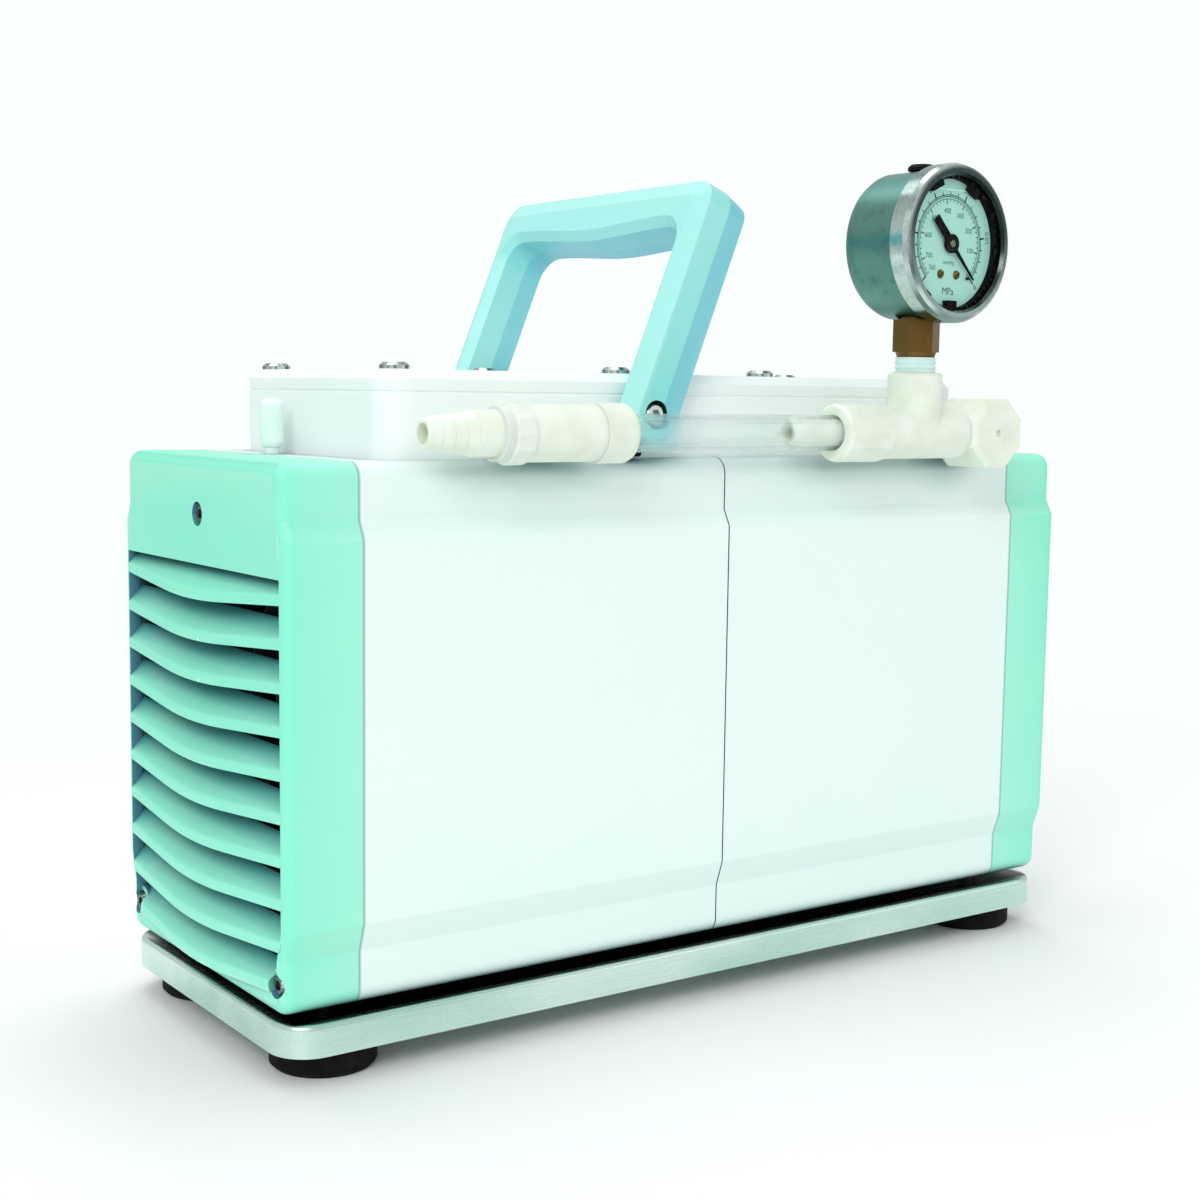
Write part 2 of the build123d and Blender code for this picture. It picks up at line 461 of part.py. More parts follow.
# ---- inlet line ---------------------------------------------------------------------------
def inlet_line():
    at = Pos(0, LINE_Y, LINE_Z)
    bore = 3.2
    tip, root = -127.7, -103.0
    nozzle = [(tip, bore), (tip, 4.2), (tip + 0.8, 4.7)]
    for i in range(1, 5):
        x, r = tip + 4.0 * i, 4.7 + 0.55 * i
        nozzle += [(x, r + 0.15), (x + 0.5, r - 0.1)]
    nozzle += [(root - 8, 7.2), (root, 7.2), (root, 8.0), (root + 8, 8.0), (root + 8, bore)]
    parts["inlet_nozzle"] = at * turned(nozzle, "X")
    nut_end = root + 10.4
    nut = turned([(root, 8.0), (root, 8.7), (root + 3.2, 8.7), (root + 3.7, 9.8), (nut_end - 0.5, 9.8),
                  (nut_end, 9.3), (nut_end, 8.0)], "X")
    parts["nozzle_nut"] = at * (nut & faceted(9.5, root - 1, nut_end + 1))

    left_end, seat, right_end = root + 8.0, -65.8, -53.0
    tube_start = seat + 5
    run = turned([(left_end, bore), (left_end, 8.0), (nut_end, 8.0), (nut_end, 9.0), (seat, 9.0),
                  (seat, 7.6), (tube_start, 7.6), (tube_start, TUBE_BORE), (tube_start + 7, TUBE_BORE),
                  (tube_start + 8, bore)], "X")
    branch_end = -BLOCK_D / 2 - LINE_Y
    branch = turned([(0, 0), (0, 7.6), (branch_end, 7.6), (branch_end, 6.0), (branch_end + 8, 6.0),
                     (branch_end + 8, 0)], "Y")
    tee = run + Pos(TEE_X, 0, 0) * (branch - rod(8.9, -20, 20, "X"))
    tee -= Pos(TEE_X, 0, 0) * rod(bore, 0, branch_end + 9, "Y")
    parts["inlet_tee"] = at * tee
    collar = turned([(seat, 7.6), (seat, 9.6), (right_end - 2.2, 9.6), (right_end - 0.7, 8.9),
                     (right_end, 7.4), (right_end, TUBE_R), (tube_start, TUBE_R), (tube_start, 7.6)], "X")
    parts["tube_nut_left"] = at * collar

    tube_end = 44.0
    nut_start, nut_end = 36.0, 57.0
    parts["clear_tube"] = at * tube(TUBE_R, TUBE_BORE, tube_start, tube_end, "X")
    nut = turned([(nut_start, TUBE_R), (nut_start, 9.2), (nut_start + 1.5, 10.2), (nut_end, 10.2),
                  (nut_end, 7.6), (tube_end, 7.6), (tube_end, TUBE_R)], "X")
    parts["tube_nut_right"] = at * (nut & faceted(9.9, nut_start - 1, nut_end + 1))
    end_x, stub_x = ELBOW_X - ELBOW_R, 15.0
    tee = turned([(stub_x, bore), (stub_x, 3.5), (stub_x + 5, TUBE_BORE), (tube_end, TUBE_BORE),
                  (tube_end, 7.6), (nut_end, 7.6), (nut_end, 9.3), (end_x, 9.3), (end_x, bore)], "X")
    top = SOCKET_TOP - LINE_Z
    socket = turned([(0, 0), (0, 9.7), (top - 1, 9.7), (top, 8.9), (top, 0)])
    tee += Pos(GAUGE_X, 0, 0) * (socket - rod(9.2, -30, 30, "X"))
    tee -= Pos(GAUGE_X, 0, 0) * (rod(STEM_R, 8, top + 1) + rod(bore, 0, 9))
    parts["gauge_tee"] = at * tee

    front, back = -11.0, 9.0
    octagon = Plane.XZ * RegularPolygon(ELBOW_R, 8, major_radius=False, rotation=22.5)
    elbow = Pos(0, back, 0) * extrude(octagon, amount=back - front)
    elbow = chamfer(elbow.faces().sort_by(Axis.Y)[0].edges(), 1.2)
    elbow += rod(8.0, back, branch_end, "Y") + rod(6.0, branch_end, branch_end + 8, "Y")
    elbow -= rod(1.4, front, front + 1.2, "Y")
    elbow -= rod(bore, -2, branch_end + 9, "Y") + rod(bore, -12, 0, "X")
    parts["port_elbow"] = Pos(ELBOW_X, LINE_Y, LINE_Z) * elbow


# ---- gauge --------------------------------------------------------------------------------
def gauge():
    """Bourdon vacuum gauge: drawn with its dial facing -Y, then turned slightly to the right."""
    stem_at = Pos(GAUGE_X, LINE_Y, 0)
    hex_low, hex_high = 227.0, GAUGE_Z - sqrt(CAN_R ** 2 - 8.0 ** 2) - 1.5
    stem = rod(STEM_R, LINE_Z + 9, SOCKET_TOP) + rod(STEM_R + 0.3, SOCKET_TOP, hex_low - 2)
    stem += turned([(hex_low - 2, 0), (hex_low - 2, 6.6), (hex_low, 7.3), (hex_low, 0)])
    hexagon = prism_z(RegularPolygon(7.3, 6, major_radius=False, rotation=27), hex_low, hex_high)
    stem += hexagon + rod(5.5, hex_high, hex_high + 4.5)
    stem -= rod(1.6, LINE_Z + 8, hex_high)
    parts["gauge_stem"] = stem_at * stem

    at = Pos(GAUGE_X, LINE_Y, GAUGE_Z) * Rot(0, 0, GAUGE_TURN) * Rot(180, 0, 0)
    wall = 1.0
    can = turned([(GAUGE_BACK, 0), (GAUGE_BACK, CAN_R - 3.0), (GAUGE_BACK + 1, CAN_R - 1.0),
                  (GAUGE_BACK + 3, CAN_R), (BEZEL_BACK + 4, CAN_R), (BEZEL_BACK + 4, CAN_R - wall),
                  (GAUGE_BACK + 3, CAN_R - wall), (GAUGE_BACK + 1.5, CAN_R - 3.0), (GAUGE_BACK + 1.2, 0)], "Y")
    can -= Rot(180, 0, 0) * rod(5.5, -40, -10)
    can -= Rot(180, 0, 0) * rod(3.0, 10, 40)
    parts["gauge_case"] = at * can
    bezel = turned([(BEZEL_BACK, CAN_R), (BEZEL_BACK, BEZEL_R - 0.6), (BEZEL_BACK + 0.8, BEZEL_R),
                    (GAUGE_FRONT - 2.5, BEZEL_R), (GAUGE_FRONT - 0.8, BEZEL_R - 0.8),
                    (GAUGE_FRONT, BEZEL_R - 2.0), (GAUGE_FRONT, 23.9), (GAUGE_FRONT - 1.2, 23.2),
                    (GAUGE_FRONT - 1.2, CAN_R)], "Y")
    parts["gauge_bezel"] = at * bezel
    glass = rod(CAN_R, GAUGE_FRONT - 3.2, GAUGE_FRONT - 1.2, "Y")
    parts["gauge_glass"] = at * glass
    ring_front, ring_back = GAUGE_FRONT - 3.2, BEZEL_BACK + 4
    gasket = tube(CAN_R, GASKET_R, ring_back, ring_front, "Y")
    gasket += tube(CAN_R - wall, GASKET_R, DIAL_FRONT, ring_back, "Y")
    gasket += [Rot(0, angle, 0) * block((-width / 2, width / 2), (DIAL_FRONT, ring_front),
                                        (GASKET_R - depth, GASKET_R + 0.5))
               for angle, width, depth in GASKET_TABS]
    parts["gauge_gasket"] = at * gasket
    dial = tube(CAN_R - wall, 1.6, DIAL_FRONT - 0.8, DIAL_FRONT, "Y")
    parts["gauge_dial"] = at * dial
    parts["gauge_movement"] = at * movement(DIAL_FRONT - 0.8)
    parts["gauge_pointer"] = at * pointer()
    plug = turned([(CAN_R - 3.5, 0), (CAN_R - 3.5, 3.0), (CAN_R + 0.3, 3.0), (CAN_R + 0.3, 4.8),
                   (CAN_R + 1.4, 4.8), (CAN_R + 2.4, 3.8), (CAN_R + 2.4, 0)])
    parts["gauge_vent_plug"] = at * Rot(180, 0, 0) * plug


def movement(top):
    """Bourdon tube and its bridge, behind the dial."""
    spring = turned([(-4, 14.5), (-4, 17.0), (3, 17.0), (3, 14.5)], "Y")
    spring -= block((-30, 30), (-10, 10), (0, 30)) - block((-30, 0), (-10, 10), (-1, 30))
    bridge = block((-9, 9), (-3, top), (-5, 7.5)) - rod(1.6, -5, top + 1, "Y")
    anchor = block((-3, 3), (-4, 3), (6, 19.0))
    return spring + bridge + anchor


def pointer():
    """Needle, hub and spindle, resting on zero at the lower right of the dial."""
    arm = Polyline((-0.25, 17), (0.25, 17), (0.7, 3), (1.5, -3), (1.5, -12), (-1.5, -12), (-1.5, -3),
                   (-0.7, 3), close=True)
    needle = Pos(0, DIAL_FRONT + 1.6, 0) * extrude(Plane.XZ * make_face(arm), amount=0.5)
    hub = rod(3.3, DIAL_FRONT + 0.8, DIAL_FRONT + 1.8, "Y")
    spindle = rod(1.2, DIAL_FRONT - 4, DIAL_FRONT + 1, "Y")
    return Rot(0, 45, 0) * (needle + hub + spindle)


# ---- mains inlet and switch ---------------------------------------------------------------
def mains():
    back = CASE_D / 2
    place = Pos(INLET_X, back, MAINS_Z)
    body = block((-13.4, 13.4), (-21, 0), (-9.9, 9.9))
    flange = Pos(0, 2, 0) * extrude(Plane.XZ * RectangleRounded(31, 24, 2.5), amount=2)
    mouth = make_face(Polyline((-12, -8), (12, -8), (12, 4.5), (8.5, 8), (-8.5, 8), (-12, 4.5), close=True))
    mouth = Pos(0, 3, 0) * extrude(Plane.XZ * mouth, amount=19.5)
    inlet = body + flange - mouth
    pin_places = ((-7, 1.5), (7, 1.5), (0, -2.5))
    pins = [block((x - 1, x + 1), (-22.5, -5.0), (z - 2, z + 2)) for x, z in pin_places]
    parts["power_inlet"] = place * (inlet - pins)
    parts["inlet_pins"] = [place * pin for pin in pins]

    place = Pos(SWITCH_X, back, MAINS_Z)
    pivot_y = -2.0
    swing_r = 8.3
    body = block((-6.4, 6.4), (-15, 0), (-9.4, 9.4))
    flange = Pos(0, 1.6, 0) * extrude(Plane.XZ * RectangleRounded(15, 21, 1.5), amount=1.6)
    well = Pos(0, pivot_y, 0) * rod(swing_r + 0.35, -5.4, 5.4, "X")
    well += block((-5.4, 5.4), (pivot_y, 5), (-swing_r - 0.35, swing_r + 0.35))
    frame = body + flange - well
    frame -= Pos(0, pivot_y, 0) * rod(1.25, -6.0, 6.0, "X")
    parts["switch_frame"] = place * frame
    tilt = radians(ROCKER_TILT)
    rise = 5.2
    face = make_face(Polyline((-swing_r - 1, -3), (-swing_r - 1, rise + swing_r * tilt), (0, rise),
                              (swing_r + 1, rise + swing_r * tilt), (swing_r + 1, -3), close=True))
    wedge = Pos(-5.1, 0, 0) * extrude(Plane(origin=(0, 0, 0), x_dir=(0, 0, 1), z_dir=(1, 0, 0)) *
                                      mirror(face, about=Plane.XZ), amount=10.2)
    rocker = wedge & (rod(swing_r, -5.1, 5.1, "X") + block((-5.1, 5.1), (0, 9), (-7.6, 7.6)))
    rocker += rod(1.2, -5.9, 5.9, "X")
    parts["switch_rocker"] = place * Pos(0, pivot_y, 0) * Rot(-ROCKER_TILT, 0, 0) * rocker


# ---- build --------------------------------------------------------------------------------
def build():
    base()
    casing()
    end_caps()
    drive()
    parts["fan_left"] = fan(-1)
    parts["fan_right"] = fan(1)
    heads()
    silencer()
    handle()
    inlet_line()
    gauge()
    mains()


def loose_solids(piece):
    return [solid for item in (piece if isinstance(piece, list) else [piece]) for solid in item.solids()]


def export_all():
    """Write one file per node, moved so that the overall box is centred on the origin."""
    shapes = {name: loose_solids(piece) for name, piece in parts.items()}
    boxes = [solid.bounding_box() for solids in shapes.values() for solid in solids]
    front, back = min(b.min.Y for b in boxes), max(b.max.Y for b in boxes)
    centring = Pos(0, -(front + back) / 2, 0)
    for name, solids in shapes.items():
        moved = [centring * solid for solid in solids]
        export_step(moved[0] if len(moved) == 1 else Compound(moved), f"parts/{name}.step")
    print("casing middle plane is at Y =", round(-(front + back) / 2, 4))
    print("overall X", round(min(b.min.X for b in boxes), 3), round(max(b.max.X for b in boxes), 3),
          "depth", round(back - front, 3), "top", round(max(b.max.Z for b in boxes), 3), "nodes", len(shapes))


build()
export_all()
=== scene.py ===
"""Looks of the diaphragm vacuum pump: finishes, the gauge's scale, small trim, camera and light.

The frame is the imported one, in metres: X along the casing, Y to the back, Z up, floor at Z = 0.
Sizes that finishes and trim are given are in millimetres, and angles in degrees.
"""

import json
from math import cos, pi, radians, sin

import bmesh
import bpy
from mathutils import Matrix, Vector


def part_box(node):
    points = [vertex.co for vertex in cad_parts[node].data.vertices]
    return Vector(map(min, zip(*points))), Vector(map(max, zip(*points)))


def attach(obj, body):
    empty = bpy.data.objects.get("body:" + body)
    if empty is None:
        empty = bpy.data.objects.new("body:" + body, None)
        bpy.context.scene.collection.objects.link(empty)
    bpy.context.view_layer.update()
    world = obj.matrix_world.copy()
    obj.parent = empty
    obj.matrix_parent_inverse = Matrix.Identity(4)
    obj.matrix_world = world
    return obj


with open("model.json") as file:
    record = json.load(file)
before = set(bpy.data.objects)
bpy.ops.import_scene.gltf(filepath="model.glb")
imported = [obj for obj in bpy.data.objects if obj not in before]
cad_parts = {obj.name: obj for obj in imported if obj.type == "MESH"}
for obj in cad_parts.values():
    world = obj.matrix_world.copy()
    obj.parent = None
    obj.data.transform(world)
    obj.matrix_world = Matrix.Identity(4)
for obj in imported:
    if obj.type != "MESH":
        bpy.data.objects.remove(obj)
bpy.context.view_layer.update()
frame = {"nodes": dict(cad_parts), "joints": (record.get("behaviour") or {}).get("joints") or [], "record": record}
nodes = frame["nodes"]
joints = {joint["name"]: joint for joint in frame["joints"]}
scene = bpy.context.scene
MM = 0.001

# ---- places on the object -----------------------------------------------------------------
shell_low, shell_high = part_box("left_shell")
CASE_Y = (shell_low.y + shell_high.y) / 2
CASE_MIDDLE = Vector((0, CASE_Y, (shell_low.z + shell_high.z) / 2))
CAP_SEAM = -shell_low.x / MM    # where the caps meet the shells, either way along X
CAP_FACE = 167.0                # the flat faces of the caps, either way along X

dial_joint = joints["pointer_turn"]
DIAL = Vector(dial_joint["pos_m"])
DIAL_OUT = Vector(dial_joint["axis"]).normalized()
DIAL_UP = Vector((0, 0, 1))
DIAL_RIGHT = DIAL_UP.cross(DIAL_OUT)
DIAL_HEIGHT = (DIAL.z - CASE_MIDDLE.z) / MM     # above the casing's middle
HANDLE_LEAN = 22.0              # of the bail at rest


# ---- colours ------------------------------------------------------------------------------
def srgb(red, green, blue, alpha=1.0):
    """Linear colour from the 0 to 255 values that a screen shows."""
    def linear(value):
        value /= 255
        return value / 12.92 if value <= 0.04045 else ((value + 0.055) / 1.055) ** 2.4
    return linear(red), linear(green), linear(blue), alpha


def shifted(colour, gain, lift=0.0):
    """Colour made lighter or darker, channel by channel."""
    return tuple(c * gain + lift for c in colour[:3]) + (1,)


WHITE = srgb(243, 250, 250)
MINT = srgb(134, 240, 206)
AQUA = srgb(132, 222, 212)


# ---- finishes -----------------------------------------------------------------------------
class Finish:
    """A Principled material, with procedural detail added a layer at a time."""

    def __init__(self, name, colour, roughness, **sockets):
        self.name = name
        self.material = bpy.data.materials.new(name)
        self.material.use_nodes = True
        self.tree = self.material.node_tree
        self.shader = self.tree.nodes["Principled BSDF"]
        self.shader.inputs["Base Color"].default_value = colour
        self.shader.inputs["Roughness"].default_value = roughness
        for socket, value in sockets.items():
            self.shader.inputs[socket.replace("_", " ")].default_value = value
        self.place = self.tree.nodes.new("ShaderNodeTexCoord").outputs["Object"]
        self.height = None

    def node(self, kind, inputs=None, **settings):
        """New node with these settings, and with these values on some of its inputs."""
        node = self.tree.nodes.new(kind)
        for key, value in settings.items():
            setattr(node, key, value)
        for socket, value in (inputs or {}).items():
            node.inputs[socket].default_value = value
        return node

    def link(self, source, target):
        self.tree.links.new(source, target)

    def moved(self, stretch=(1, 1, 1), centre=(0, 0, 0)):
        """Place in millimetres about centre, which is in metres, drawn out along the axes by stretch."""
        scale = [1000 / s for s in stretch]
        shift = [-c * s for c, s in zip(centre, scale)]
        mapping = self.node("ShaderNodeMapping", {"Scale": scale, "Location": shift})
        self.link(self.place, mapping.inputs["Vector"])
        return mapping.outputs["Vector"]

    def ramp(self, value, low, high, out_low=0.0, out_high=1.0):
        """Value carried from low and high to out_low and out_high, and held at both ends."""
        node = self.node("ShaderNodeMapRange", {"From Min": low, "From Max": high,
                                                "To Min": out_low, "To Max": out_high})
        self.link(value, node.inputs["Value"])
        return node.outputs["Result"]

    def multiply(self, first, second):
        node = self.node("ShaderNodeMath", operation="MULTIPLY")
        self.link(first, node.inputs[0])
        self.link(second, node.inputs[1])
        return node.outputs["Value"]

    def dot(self, first, second):
        """Dot product of a socket and either another socket or a fixed vector."""
        node = self.node("ShaderNodeVectorMath", operation="DOT_PRODUCT")
        self.link(first, node.inputs[0])
        if isinstance(second, bpy.types.NodeSocket):
            self.link(second, node.inputs[1])
        else:
            node.inputs[1].default_value = second
        return node.outputs["Value"]

    # Masks, from 0 to 1.
    def noise(self, size, detail=2.0, low=0.3, high=0.7, stretch=(1, 1, 1)):
        """Soft noise whose blobs are about size across."""
        node = self.node("ShaderNodeTexNoise", {"Scale": 1 / size, "Detail": detail})
        self.link(self.moved(stretch), node.inputs["Vector"])
        return self.ramp(node.outputs["Fac"], low, high)

    def grain(self, size):
        """Pebbled cells about size across, as of a textured mould."""
        node = self.node("ShaderNodeTexVoronoi", {"Scale": 1 / size})
        self.link(self.moved(), node.inputs["Vector"])
        return self.ramp(node.outputs["Distance"], 0.0, 0.8)

    def facing(self, direction, low, high):
        """High where the surface faces direction, in the piece's own axes."""
        normal = self.node("ShaderNodeTexCoord").outputs["Normal"]
        return self.ramp(self.dot(normal, direction), low, high)

    def from_middle(self):
        """Vector from the casing's middle, in metres."""
        offset = self.node("ShaderNodeVectorMath", {1: CASE_MIDDLE}, operation="SUBTRACT")
        self.link(self.place, offset.inputs[0])
        return offset.outputs["Vector"]

    def along(self, axis, low, high):
        """From 0 at low to 1 at high, off the casing's middle: upward on Z, and both ways on X and Y."""
        split = self.node("ShaderNodeSeparateXYZ")
        self.link(self.from_middle(), split.inputs[0])
        value = split.outputs[axis]
        if axis != "Z":
            size = self.node("ShaderNodeMath", operation="ABSOLUTE")
            self.link(value, size.inputs[0])
            value = size.outputs["Value"]
        return self.ramp(value, low * MM, high * MM)

    def band(self, axis, place, inner, outer):
        """High within inner of place along an axis, and 0 beyond outer."""
        return self.multiply(self.along(axis, place - outer, place - inner),
                             self.along(axis, place + outer, place + inner))

    def behind_face(self, start, end):
        """From 0 at start to 1 at end, inward from the faces of the caps."""
        return self.along("X", CAP_FACE - start, CAP_FACE - end)

    def dial_radius(self, low, high):
        """From 0 at low to 1 at high, off the axis of the gauge's dial."""
        across = self.node("ShaderNodeVectorMath", {1: DIAL_OUT}, operation="CROSS_PRODUCT")
        self.link(self.moved(centre=DIAL), across.inputs[0])
        length = self.node("ShaderNodeVectorMath", operation="LENGTH")
        self.link(across.outputs["Vector"], length.inputs[0])
        return self.ramp(length.outputs["Value"], low, high)

    def inward(self):
        """High on faces that look towards the casing's middle, such as the inside of its walls."""
        normal = self.node("ShaderNodeNewGeometry").outputs["True Normal"]
        return self.ramp(self.dot(self.from_middle(), normal), 2 * MM, -2 * MM)

    def creases(self, reach, low=0.35, high=0.85):
        """High in corners and slots within reach of another surface."""
        shade = self.node("ShaderNodeAmbientOcclusion", {"Distance": reach * MM}, samples=6)
        return self.ramp(shade.outputs["AO"], high, low)

    def glints(self, count, low=0.42, high=0.62):
        """Painted reflection: broad light and dark patches that follow the way a polished surface faces."""
        node = self.node("ShaderNodeTexNoise", {"Scale": count, "Detail": 1})
        self.link(self.node("ShaderNodeTexCoord").outputs["Normal"], node.inputs["Vector"])
        return self.ramp(node.outputs["Fac"], low, high)

    def edges(self):
        """High on outer edges, where a moulding is rubbed and where a highlight is painted."""
        return self.ramp(self.node("ShaderNodeNewGeometry").outputs["Pointiness"], 0.52, 0.60)

    # Layers, each steered by a mask.
    def tint(self, amount, colour, strength=1.0):
        """Mixes colour into the base colour where amount is high."""
        target = self.shader.inputs["Base Color"]
        mix = self.node("ShaderNodeMix", {"B": colour}, data_type="RGBA")
        if target.links:
            self.link(target.links[0].from_socket, mix.inputs["A"])
        else:
            mix.inputs["A"].default_value = target.default_value
        self.link(self.ramp(amount, 0, 1, 0, strength), mix.inputs["Factor"])
        self.link(mix.outputs["Result"], target)
        return self

    def rough(self, amount, low, high):
        self.link(self.ramp(amount, 0, 1, low, high), self.shader.inputs["Roughness"])
        return self

    def relief(self, amount, depth):
        """Bump of this depth, on top of what is there."""
        bump = self.node("ShaderNodeBump", {"Distance": depth * MM})
        self.link(amount, bump.inputs["Height"])
        if self.height:
            self.link(self.height, bump.inputs["Normal"])
        self.height = bump.outputs["Normal"]
        self.link(self.height, self.shader.inputs["Normal"])
        return self


def white_finish(name, colour, rough=(0.32, 0.46)):
    """Satin paint or moulding: faint pebbling, and a trace of uneven tone."""
    finish = Finish(name, colour, 0.4, Specular_IOR_Level=0.45)
    cooler = (colour[0] * 0.93, colour[1] * 0.97, colour[2] * 0.96, 1)
    finish.tint(finish.noise(60, 3), cooler, 0.6)
    finish.rough(finish.noise(18, 4), *rough)
    return finish.relief(finish.noise(1.1, 1), 0.012)


def moulded_finish(name, colour, shade, grain=0.55, depth=0.02, rough=(0.36, 0.5), edge_wear_and_highlight=0.35, **sockets):
    """Coloured moulding with a fine spark-eroded texture, and paler edges, partly rubbed and partly a painted
    highlight.
    """
    finish = Finish(name, colour, 0.42, **sockets)
    finish.tint(finish.noise(35, 3), shade, 0.5)
    # paler edges: partly rubbing wear, partly a painted highlight
    finish.tint(finish.edges(), shifted(colour, 0.5, 0.5), edge_wear_and_highlight)
    finish.rough(finish.noise(7, 4), *rough)
    return finish.relief(finish.grain(grain), depth)


def metal_finish(name, colour, rough, line, run, depth, dark=None):
    """Metal brushed along X: lines of width line and length line times run, in tone, gloss and relief."""
    finish = Finish(name, colour, sum(rough) / 2, Metallic=1.0)
    stretch = (run, 1, 1)
    lines = finish.noise(line, 3, 0.25, 0.75, stretch)
    finish.tint(lines, shifted(colour, 0.8), 0.8)
    if dark:
        finish.tint(finish.noise(9, 4, 0.5, 0.75), dark, 0.5)
    finish.rough(finish.noise(line * 2, 3, 0.25, 0.75, stretch), *rough)
    return finish.relief(lines, depth)


def turned_finish(name, colour, rough, centre, axis, pitch=0.18, dark=None):
    """Metal whose fine marks follow one another along an axis through centre, as on turned work."""
    finish = Finish(name, colour, sum(rough) / 2, Metallic=1.0)
    marks = finish.node("ShaderNodeTexNoise", {"Scale": 1 / pitch, "Detail": 2})
    finish.link(finish.dot(finish.moved(centre=centre), axis), marks.inputs["Vector"])
    lines = finish.ramp(marks.outputs["Fac"], 0.3, 0.7)
    finish.tint(lines, shifted(colour, 0.82), 0.7)
    if dark:
        finish.tint(finish.noise(7, 4, 0.5, 0.72), dark, 0.6)
    finish.rough(lines, *rough)
    return finish.relief(lines, 0.003)


def polished_finish(name, colour, dark, rough, count=2.2):
    """Bright turned or cast metal, with a painted reflection of its surroundings as broad dark and light patches.
    """
    finish = Finish(name, colour, rough, Metallic=1.0)
    # painted reflection: dark patches that follow the way the surface faces
    finish.tint(finish.glints(count), dark, 0.85)
    finish.tint(finish.noise(1.4, 3, 0.45, 0.75), dark, 0.25)
    finish.rough(finish.noise(0.8, 3), rough, rough + 0.14)
    return finish.relief(finish.noise(0.35, 2), 0.003)


def banded_finish(name, colour, gap, pitch, metal, rough):
    """Stacked sheets or wound wire: bands along X, about pitch apart, with dark gaps."""
    finish = Finish(name, colour, rough, Metallic=metal)
    waves_per_scale = 3.2
    wave = finish.node("ShaderNodeTexWave", {"Scale": 1 / (pitch * waves_per_scale), "Distortion": 0.15},
                       bands_direction="X")
    finish.link(finish.moved(), wave.inputs["Vector"])
    finish.tint(finish.ramp(wave.outputs["Fac"], 0.75, 1.0), gap, 0.9)
    return finish.relief(wave.outputs["Fac"], 0.03)


def rubber_finish(name, colour):
    """Matt rubber, dusty in patches."""
    finish = Finish(name, colour, 0.7, Specular_IOR_Level=0.12)
    finish.tint(finish.noise(5, 3), shifted(colour, 1.9, 0.004), 0.5)
    finish.rough(finish.noise(3, 3), 0.6, 0.8)
    return finish.relief(finish.noise(0.5, 2), 0.02)


def milky_finish(name, colour, warm, cloud=0.4):
    """Natural polypropylene or tape: cloudy, slightly see-through, and warmer in patches."""
    finish = Finish(name, colour, 0.36, Subsurface_Weight=cloud, Subsurface_Scale=0.004,
                    Subsurface_Radius=(1.0, 0.85, 0.6), Specular_IOR_Level=0.5)
    finish.tint(finish.noise(9, 3, 0.35, 0.7), warm, 0.75)
    finish.rough(finish.noise(4, 3), 0.28, 0.42)
    return finish.relief(finish.noise(1.6, 2), 0.015)


def clear_finish(name, colour, rough, ior, alpha):
    """Clear plastic or glass; a low alpha thins it out further."""
    finish = Finish(name, colour, rough[0], Transmission_Weight=1.0, IOR=ior, Alpha=alpha)
    return finish.rough(finish.noise(8, 3), *rough)


def ink_finish(name, colour):
    """Flat print, painted shade or painted highlight, with a trace of uneven tone."""
    finish = Finish(name, colour, 0.6, Specular_IOR_Level=0.05)
    finish.tint(finish.noise(0.3, 2), shifted(colour, 1.5, 0.004), 0.3)
    return finish.relief(finish.noise(0.2, 1), 0.002)


# ---- finishes of single parts -------------------------------------------------------------
def housing_finish(finish, seam_shade):
    """Darkens a casing finish where no light reaches: inside, underneath, in slots and at its seams."""
    finish.tint(finish.creases(15, 0.4, 0.92), srgb(44, 108, 116), 0.8)
    for side in (-1, 1):
        slat_top = finish.facing(Vector((side, 0, 1)).normalized(), 0.93, 0.985)
        finish.tint(finish.multiply(slat_top, finish.behind_face(0.2, 5.5)), srgb(60, 144, 146), 0.85)
        finish.tint(finish.multiply(slat_top, finish.behind_face(4.2, 6.8)), srgb(6, 34, 48), 0.92)
    finish.tint(finish.inward(), srgb(78, 132, 158), 0.9)
    finish.tint(finish.multiply(finish.inward(), finish.behind_face(1, 9)), srgb(12, 34, 40), 1.0)
    finish.tint(finish.facing((0, 0, -1), 0.75, 0.95), srgb(8, 14, 15), 1.0)
    return finish.tint(finish.band("X", CAP_SEAM, 0.1, 0.7), seam_shade, 0.55)


def mint_finish():
    finish = moulded_finish("mint_plastic", MINT, srgb(132, 230, 208))
    finish.tint(finish.noise(70, 2, 0.35, 0.75), srgb(158, 240, 222), 0.4)
    return housing_finish(finish, srgb(46, 120, 112))


def paint_finish():
    """White paint, a little deeper on the shells than on the heads, with a line under the head cover."""
    finish = white_finish("white_paint", WHITE)
    finish.tint(finish.along("Z", 88, 78), srgb(228, 247, 241), 0.7)
    finish.tint(finish.along("Z", -20, -84), srgb(226, 244, 240), 0.4)
    cover_joint = (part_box("head_block")[1].z - CASE_MIDDLE.z) / MM
    finish.tint(finish.band("Z", cover_joint, 0.3, 0.6), srgb(96, 116, 116), 0.8)
    return housing_finish(finish, srgb(60, 132, 124))


def handle_finish():
    """The handle's own right leans down with it; painted light makes its left bevels paler, and painted shade
    makes its right bevels, its underside and its creases cooler and darker.
    """
    lean = radians(HANDLE_LEAN)
    right = Vector((cos(lean), 0, -sin(lean)))
    finish = moulded_finish("aqua_plastic", AQUA, srgb(132, 222, 222))
    finish.tint(finish.noise(24, 3, 0.4, 0.7), srgb(150, 226, 232), 0.35)
    # painted light on the left bevels; painted shade on the right bevels, the underside and in the creases
    finish.tint(finish.facing(-right, 0.3, 0.85), srgb(172, 236, 228), 0.7)
    finish.tint(finish.facing(right, 0.06, 0.17), srgb(106, 190, 216), 0.55)
    finish.tint(finish.facing((0, 0, -1), 0.3, 0.9), srgb(112, 186, 210), 0.55)
    return finish.tint(finish.creases(5), srgb(86, 160, 200), 0.5)


